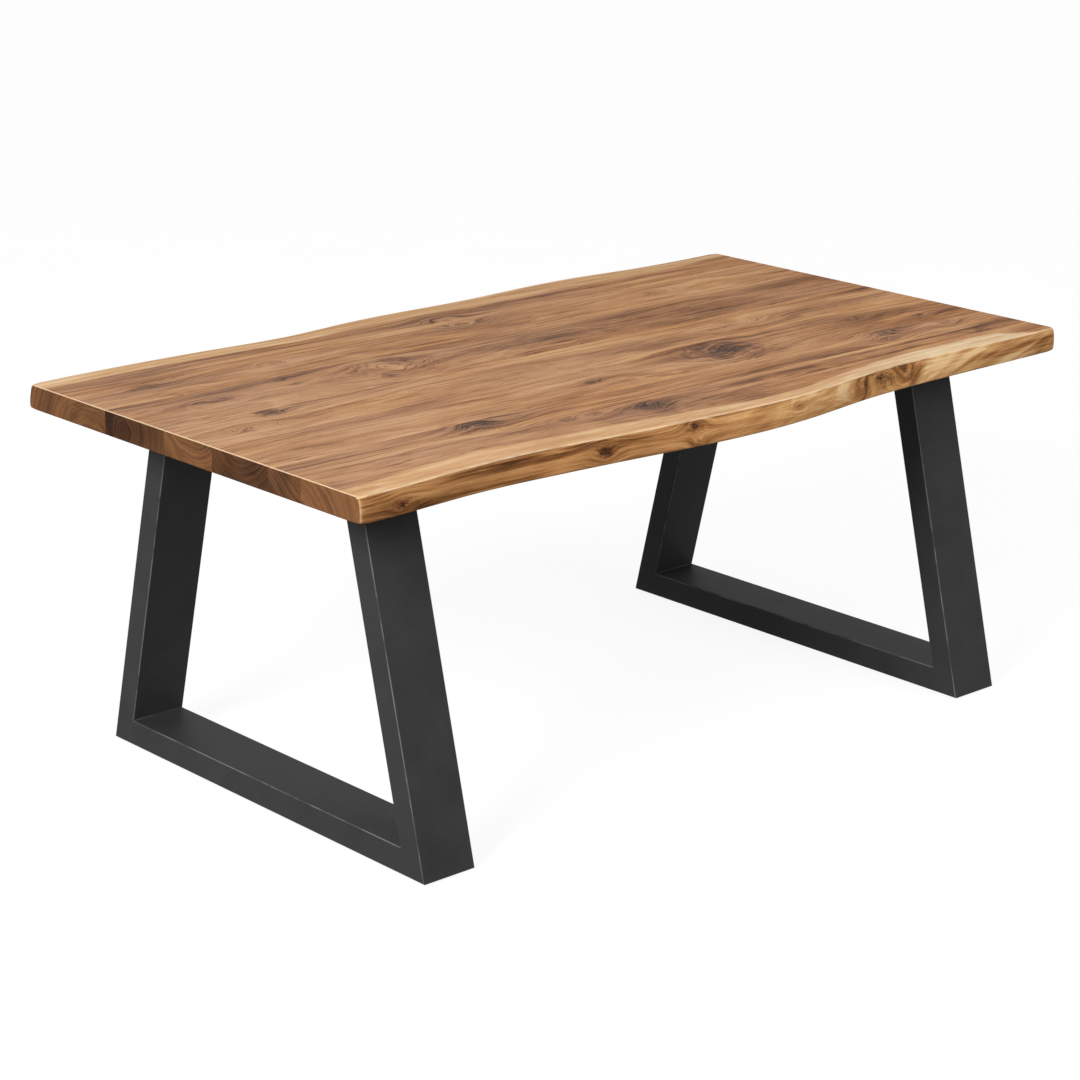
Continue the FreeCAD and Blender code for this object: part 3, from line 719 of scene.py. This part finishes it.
def makeLiveBoard(node, values):
    low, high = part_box(node)
    outward, arris = values["outward"], top["arris"]
    glue = low.y if outward > 0 else high.y
    ends, evenFrom = np.array(liveEdge["ends"]), liveEdge["evenFrom"]
    middles = np.linspace(low.x + evenFrom, high.x - evenFrom, liveEdge["stations"])
    stations = np.concatenate([low.x + ends, middles, high.x - ends[::-1]])
    levels = np.linspace(low.z + arris, high.z - arris, liveEdge["levels"])
    edge = edgeFromCad(node, outward, stations, levels)
    turns = np.linspace(0.0, math.pi / 2, liveEdge["roundSteps"])[1:-1]
    plain = edge.mean(axis=0)
    sapWidths = np.interp(stations, *zip(*values["sapWidth"]))
    thick = high.z - low.z
    rows = []  # each row goes round the board: x, y, z, then the values named in liveLabels
    for i, x in enumerate(stations):
        fromEnd = min(x - low.x, high.x - x)
        drop, draw = drawIn(arris, fromEnd), drawIn(liveEdge["corner"], fromEnd)
        sanded = arris + liveEdge["sanding"] * math.exp(-(fromEnd / liveEdge["sandingReach"]) ** 2)
        reach = np.abs(edge[i] - glue) - draw
        row = []

        # arrisHighlight: strength of the painted highlight along the arrises, kept in the arris
        # attribute as shine
        def put(out, up, bark, arrisHighlight, level):
            out, up = roundOff(out, up, reach[level], sanded, low.z, high.z)
            y = glue + outward * out
            wave = (edge[i, level] - plain[level]) * min(out / abs(edge[i, level] - glue), 1.0)
            squeezed = low.z + drop + (up - low.z) * (thick - 2 * drop) / thick
            shine = arrisHighlight if fromEnd > 0.0005 else 0.0
            straight = y - liveEdge["follow"] * wave
            row.append((x, y, squeezed, bark, shine, straight, bark - sapWidths[i]))

        cornerHighlight = 0.66 if 0.0010 < fromEnd < 0.0035 else 0.0  # the upright corner, which takes the painted highlight too
        under, over = reach[0] - arris, reach[-1] - arris
        for share in np.linspace(0.0, 1.0, liveEdge["underSteps"])[:-1]:
            put(share * under, low.z, reach[0] - share * under, 0.0, 0)
        put(under, low.z, arris, 0.3, 0)
        for turn in turns:
            out = under + (arris - logRelief(x, low.z, values)) * math.sin(turn)
            put(out, low.z + arris * (1 - math.cos(turn)), 0.0, 0.5, 0)
        for j, z in enumerate(levels):
            put(reach[j] - logRelief(x, z, values), z, 0.0, cornerHighlight, j)
        for turn in turns[::-1]:
            out = over + (arris - logRelief(x, high.z, values)) * math.sin(turn)
            put(out, high.z - arris * (1 - math.cos(turn)), 0.0, 1.0, -1)
        put(over, high.z, arris, 0.8, -1)
        for share in np.linspace(1.0, 0.0, liveEdge["topSteps"])[1:]:
            put(share * over, high.z, reach[-1] - share * over, 0.0, -1)
        rows.append(row)
    piece = closedGrid(values["piece"], rows, liveLabels)
    bpy.ops.object.shade_smooth_by_angle(angle=math.radians(38))
    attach(piece, "root")
    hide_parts(node)
    return piece


def liveBoardMaterial(piece, values):
    material, tree, shader, place = newMaterial(values["slot"])
    x, y, z = split(tree, place)
    seed = values["seed"]
    bark, arrisHighlight, straight, belowSap = [
        addNode(tree, "ShaderNodeAttribute", attribute_name=label).outputs["Fac"]
        for label in liveLabels]
    onFace = ease(tree, bark, 0.0040, 0.0008)
    # knots on the live edge run out sideways, so y and z change places for them
    sideways, faceCores, faceHalos, faceLines = addKnots(
        tree, point(tree, x, z, straight), values["faceKnots"], ease(tree, bark, 0.045, 0.008))
    px, pz, py = split(tree, sideways)
    knots = addKnots(tree, point(tree, px, py, pz), values["knots"])
    figure = figureOf(tree, knots[0], values)
    colour = heartwood(tree, place, knots, figure, values)

    # sapwood: a pale band along the edge, with a streaky inner border
    ragged = drawnCloud(tree, knots[0], (4, 70, 70), seed, 4, 0.6)
    slow = drawnCloud(tree, knots[0], (6, 14, 14), seed)
    border = addUp(tree, belowSap, (ragged, 0.5, 0.034), (slow, 0.5, 0.020))
    sap = ease(tree, border, 0.004, -0.005)
    sapTone = timesPlus(tree, x, values["sapDrift"], values["sapTone"])
    sapTone = addFigure(tree, sapTone, figure, figureWeights["sapwood"])
    pale = ramp(tree, addUp(tree, sapTone, (ragged, 0.5, 0.9)), woodRamps["sapwood"])
    colour = tint(tree, sap, colour, pale)

    # the live face itself: amber, with swirls where the rings come out at the surface
    face = point(tree, x, y, pz)
    onward = larger(tree, minus(tree, x, values["wild"][0]), 0.0)
    slanted = timesPlus(tree, onward, liveEdge["slant"], pz)  # the rings leave the face at a slant
    calm = drawnCloud(tree, face, (1.8, 20, 75), seed, 5, 0.62)
    swirl = drawnCloud(tree, point(tree, x, y, slanted), (4.5, 18, 30), seed, 5, 0.58, 0.9)
    patch = drawnCloud(tree, face, (2.4, 4, 9), seed, 2)
    grain = drawnCloud(tree, face, (7, 120, 420), seed, 4, 0.65)
    level = addStains(tree, sideways, values["faceStains"])
    rising = addStains(tree, point(tree, x, slanted, y), values["slantStains"])
    wild = ease(tree, x, *values["wild"])
    faceTone = addUp(
        tree, timesPlus(tree, x, values["faceDrift"], values["faceTone"]),
        (swirl, 0.5, times(tree, wild, 1.7)), (calm, 0.5, ease(tree, wild, 0.0, 1.0, 1.5, 0.5)),
        (patch, 0.5, 0.6), (grain, 0.5, 0.9), (faceHalos, 0, -0.26), (faceLines, 0, -0.15),
        (calc(tree, "ADD", level, rising), 0, -1.0))
    amber = ramp(tree, faceTone, woodRamps["liveFace"])
    cover = times(tree, faceCores, liveEdge["coreCover"])
    colour = tint(tree, onFace, colour, tint(tree, cover, amber, linear(*liveEdge["core"])))
    ends, endArrisHighlight = endsAndArrisHighlight(tree, x, z)
    colour = tint(tree, ends, colour, endGrain(tree, y, figure, values))
    coarse = times(tree, timesPlus(tree, swirl, 1.5, grain), onFace)
    # the painted highlight along the arrises, broken up in patches
    highlightBreaks = ease(tree, drawnCloud(tree, face, (14, 14, 14)), 0.30, 0.60, 0.45, 1.0)
    lines = times(tree, ease(tree, arrisHighlight, 0.45, 0.95), highlightBreaks)
    finishWood(tree, shader, figure, colour, ends, larger(tree, lines, endArrisHighlight), coarse)
    dress(piece, material)


for node, values in liveBoards.items():
    liveBoardMaterial(makeLiveBoard(node, values), values)
    print(values["piece"], "made")


# the steel frames, their fixings and the glides

legs = {
    "middle": 0.720, "half": 0.060, "foot": 0.484, "head": 0.314, "low": 0.005, "high": 0.699,
    "barTop": 0.057, "wall": 0.0535}
legs["lean"] = (legs["foot"] - legs["head"]) / (legs["high"] - legs["low"])

# thin is the colour of the painted highlights on the tube corners, and seam how strong that painted
# line is at each upright's foot
coat = {
    "colours": [(0.25, (50, 50, 50)), (0.75, (62, 62, 62))], "thin": (140, 140, 142), "shine": 0.07,
    "seam": 0.7, "bump": 0.22, "bumpDepth": 0.0002}


def edgeOf(tree, distance):  # 1 on an edge line, 0 a few millimetres away from it
    return ease(tree, calc(tree, "ABSOLUTE", distance), 0.0024, 0.0008)


def edgeHighlights(tree, place):  # painted highlights along the corners of the tubes
    x, y, z = split(tree, place)
    aside = minus(tree, calc(tree, "ABSOLUTE", x), legs["middle"])
    side = minus(tree, calc(tree, "ABSOLUTE", aside), legs["half"])
    outer = timesPlus(tree, z, legs["lean"], calc(tree, "ABSOLUTE", y))
    outer = minus(tree, outer, legs["foot"] + legs["lean"] * legs["low"])
    inner = calc(tree, "ADD", outer, legs["wall"])
    onBar = edgeOf(tree, minus(tree, z, legs["barTop"]))
    onFloor = edgeOf(tree, minus(tree, z, legs["low"]))
    above = calc(tree, "GREATER_THAN", z, legs["barTop"] - 0.001)
    between = calc(tree, "LESS_THAN", inner, 0.001)
    upright = larger(tree, edgeOf(tree, outer), times(tree, edgeOf(tree, inner), above))
    bar = larger(tree, times(tree, onBar, between), onFloor)
    corner = times(tree, edgeOf(tree, side), larger(tree, upright, bar))
    seam = times(tree, edgeOf(tree, inner), onBar)  # a painted highlight line where the upright's foot meets the bar
    return larger(tree, corner, times(tree, seam, coat["seam"]))


def powderCoatMaterial():
    material, tree, shader, place = newMaterial("powder_coat")
    mottled = cloud(tree, place, 9)
    peel = cloud(tree, place, 620, 2, 0.5)
    grit = cloud(tree, place, 2400, 1, 0.5)
    powder = ramp(tree, addUp(tree, mottled, (grit, 0.5, 0.5)), coat["colours"])
    uneven = ease(tree, cloud(tree, place, 16, 4, 0.6), 0.34, 0.62, 0.10, 0.7)
    # worn: the painted edge highlights, broken up in places
    worn = times(tree, edgeHighlights(tree, place), uneven)
    height = timesPlus(tree, grit, 0.4, peel)
    feedAll(tree, shader.inputs, {
        "Base Color": tint(tree, worn, powder, linear(*coat["thin"])),
        "Roughness": addUp(tree, 0.40, (mottled, 0, 0.16), (grit, 0, 0.10)),
        "Specular IOR Level": coat["shine"],
        "Normal": bump(tree, height, coat["bump"], coat["bumpDepth"]),
    })
    return material


def zincMaterial():
    material, tree, shader, place = newMaterial("zinc_steel")
    flakes = addNode(tree, "ShaderNodeTexVoronoi", {"Vector": place, "Scale": 700}).outputs
    smear = cloud(tree, place, 90)
    feedAll(tree, shader.inputs, {
        "Base Color": ramp(tree, smear, [(0.3, (150, 152, 154)), (0.7, (190, 191, 190))]),
        "Metallic": 1.0,
        "Roughness": timesPlus(tree, flakes["Distance"], 0.25, 0.28),
        "Normal": bump(tree, smear, 0.15, 0.0001),
    })
    return material


def glideMaterial():
    material, tree, shader, place = newMaterial("glide_plastic")
    grain = cloud(tree, place, 1300, 2)
    scuff = drawnCloud(tree, place, (60, 60, 400))
    feedAll(tree, shader.inputs, {
        "Base Color": ramp(tree, scuff, [(0.35, (20, 20, 21)), (0.7, (34, 34, 34))]),
        "Roughness": timesPlus(tree, scuff, 0.3, 0.40),
        "Normal": bump(tree, grain, 0.2, 0.0001),
    })
    return material


def addRod(radius, bottom, height, corners):
    bpy.ops.object.select_all(action="DESELECT")
    bpy.ops.mesh.primitive_cylinder_add(
        vertices=corners, radius=radius, depth=height, location=(0.0, 0.0, bottom + height / 2))
    bpy.ops.object.transform_apply(location=True, rotation=True, scale=True)
    return bpy.context.object


def applyModifier(piece, kind, **settings):
    bpy.context.view_layer.objects.active = piece
    modifier = piece.modifiers.new("shape", kind)
    for name, value in settings.items():
        setattr(modifier, name, value)
    bpy.ops.object.modifier_apply(modifier=modifier.name)


def cutOrJoin(piece, tool, operation):
    applyModifier(piece, "BOOLEAN", operation=operation, object=tool, solver="EXACT")
    bpy.data.objects.remove(tool)


def joinAll(pieces, name):
    bpy.ops.object.select_all(action="DESELECT")
    for piece in pieces:
        piece.select_set(True)
    bpy.context.view_layer.objects.active = pieces[0]
    bpy.ops.object.join()
    pieces[0].name = name
    return pieces[0]


bolts = {
    "apart": 0.038, "rows": (-0.20046, 0.0, 0.20046), "under": 0.6925, "head": 0.0045,
    "headRadius": 0.007, "headRound": 0.0010, "shank": 0.026, "shankRadius": 0.004, "key": 0.0029,
    "keyDepth": 0.0026, "below": 0.002, "overlap": 0.001}


def makeBolts(values):  # low round heads with a hexagon socket, twelve in one piece
    under, overlap = values["under"], values["overlap"]
    head = addRod(values["headRadius"], under, values["head"], 40)
    applyModifier(
        head, "BEVEL", width=values["headRound"], segments=4, limit_method="ANGLE",
        angle_limit=math.radians(60))
    deep = values["keyDepth"] + values["below"]
    cutOrJoin(head, addRod(values["key"], under - values["below"], deep, 6), "DIFFERENCE")
    long = values["shank"] + overlap
    shank = addRod(values["shankRadius"], under + values["head"] - overlap, long, 32)
    cutOrJoin(head, shank, "UNION")
    copies = []
    for middle in (-legs["middle"], legs["middle"]):
        for side in (-values["apart"], values["apart"]):
            for row in values["rows"]:
                copy = head.copy()
                copy.data = head.data.copy()
                bpy.context.scene.collection.objects.link(copy)
                copy.location = (middle + side, row, 0.0)
                copies.append(copy)
    bpy.data.objects.remove(head)
    piece = joinAll(copies, "socket_bolts")
    bpy.ops.object.transform_apply(location=True, rotation=True, scale=True)
    bpy.ops.object.shade_smooth_by_angle(angle=math.radians(32))
    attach(piece, "root")
    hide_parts("frame_bolts")
    return piece


welds = {
    "half": 0.057, "leg": 0.005, "bulge": 0.0007, "pool": 0.0028, "scallop": 0.0005, "wobble": 0.6,
    "trail": 0.45, "stations": 230, "steps": 9}


def makeWelds(side, middle, values):  # four beads at the plate, laid in overlapping pools
    half, leg, high = values["half"], values["leg"], legs["high"]
    shares = np.linspace(0.0, 1.0, values["steps"]).tolist()
    beads = []
    for end in (-1, 1):
        for root, out in ((legs["head"], 1), (legs["head"] - legs["wall"], -1)):
            onPlate = Vector((0.0, end * (root + out * leg), high))
            onTube = Vector((0.0, end * (root + legs["lean"] * leg), high - leg))
            outward = Vector((0.0, end * out, -1.0)).normalized()
            rows = []
            for x in np.linspace(-half, half, values["stations"]).tolist():
                wobble = noise.noise(Vector((x * 60, root * 40, end * 3 + middle)))
                start = x / values["pool"] + values["wobble"] * wobble
                row = [(middle + x, end * root, high)]
                for share in shares:
                    crown = 4 * share * (1 - share)
                    pool = abs(math.sin(math.pi * (start + values["trail"] * crown)))
                    swell = crown * (values["bulge"] + values["scallop"] * (pool - 0.6))
                    place = onPlate.lerp(onTube, share) + swell * outward
                    row.append((middle + x, place.y, place.z))
                rows.append(row)
            beads.append(closedGrid("weld_bead", rows))
    piece = joinAll(beads, side + "_weld_beads")
    bpy.ops.object.shade_smooth_by_angle(angle=math.radians(50))
    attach(piece, "root")
    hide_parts(side + "_plate_welds")
    return piece


powderCoat = powderCoatMaterial()
zinc = zincMaterial()
glidePlastic = glideMaterial()
for name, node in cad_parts.items():
    if name.endswith("glide"):
        dress(node, glidePlastic)
    elif name in ("frame_bolts", "frame_washers", "threaded_inserts"):
        dress(node, zinc)
    elif name.startswith(("left_", "right_")):
        dress(node, powderCoat)
dress(makeBolts(bolts), zinc)
for side, middle in (("left", -legs["middle"]), ("right", legs["middle"])):
    dress(makeWelds(side, middle, welds), powderCoat)
print("frames dressed")


# floor, light and camera

white = (1.0, 1.0, 1.0, 1.0)
studio = {
    "floorSize": 80, "floor": [(0.0, (100, 100, 100)), (1.0, (106, 106, 106))], "glow": 0.90,
    "dome": 0.36, "lampAim": (0.0, 0.0, 0.5), "lampSize": 2.6}
lamps = {  # place, power
    "key_lamp": ((-6.4, -2.0, 4.2), 480.0),
    "fill_lamp": ((1.0, -4.5, 3.2), 90.0),
}
view = {
    "place": (-3.8127, -4.1572, 2.1349), "aim": (-0.1112, -0.0430, 0.405), "roll": 0.331,
    "lens": 97.467, "sensor": 36.0}


def seenDirectly(tree):  # by the camera, in a reflection or through something clear
    path = addNode(tree, "ShaderNodeLightPath").outputs
    seen = larger(tree, path["Is Camera Ray"], path["Is Glossy Ray"])
    return larger(tree, seen, path["Is Transmission Ray"])


def makeFloor():
    bpy.ops.object.select_all(action="DESELECT")
    bpy.ops.mesh.primitive_plane_add(size=studio["floorSize"])
    floor = bpy.context.object
    floor.name = "studio_floor"
    material, tree, shader, place = newMaterial("studio_floor")
    below = addNode(tree, "ShaderNodeNewGeometry").outputs["Backfacing"]
    feedAll(tree, shader.inputs, {
        "Base Color": ramp(tree, cloud(tree, place, 3, 2), studio["floor"]),
        "Roughness": 0.9,
        "Specular IOR Level": 0.1,
        "Emission Color": white,
        "Emission Strength": times(tree, seenDirectly(tree), studio["glow"]),
        "Alpha": minus(tree, 1.0, below),  # clear when looked at from below
    })
    dress(floor, material)


def makeSky():
    world = bpy.data.worlds.new("studio")
    bpy.context.scene.world = world
    world.use_nodes = True
    tree = world.node_tree
    tree.nodes.clear()
    strength = ease(tree, seenDirectly(tree), 0.0, 1.0, studio["dome"], 1.0)
    sky = addNode(tree, "ShaderNodeBackground", {"Color": white, "Strength": strength})
    addNode(tree, "ShaderNodeOutputWorld", {"Surface": sky.outputs[0]})


def addAimed(name, data, place, aim, roll=0.0):
    thing = bpy.data.objects.new(name, data)
    bpy.context.scene.collection.objects.link(thing)
    thing.location = place
    thing.rotation_mode = "QUATERNION"
    aimed = (Vector(aim) - Vector(place)).to_track_quat("-Z", "Y")
    thing.rotation_quaternion = aimed @ Quaternion((0.0, 0.0, 1.0), math.radians(roll))
    return thing


def addLamp(name, place, power):
    data = bpy.data.lights.new(name, "AREA")
    data.shape = "DISK"
    data.size = studio["lampSize"]
    data.energy = power
    addAimed(name, data, place, studio["lampAim"])


def addCamera():
    data = bpy.data.cameras.new("photo_camera")
    data.lens = view["lens"]
    data.sensor_width = view["sensor"]
    bpy.context.scene.camera = addAimed(
        "photo_camera", data, view["place"], view["aim"], view["roll"])


makeFloor()
makeSky()
for name, (place, power) in lamps.items():
    addLamp(name, place, power)
addCamera()
bpy.context.scene.view_settings.view_transform = "Standard"
print("studio ready")

bpy.context.view_layer.update()
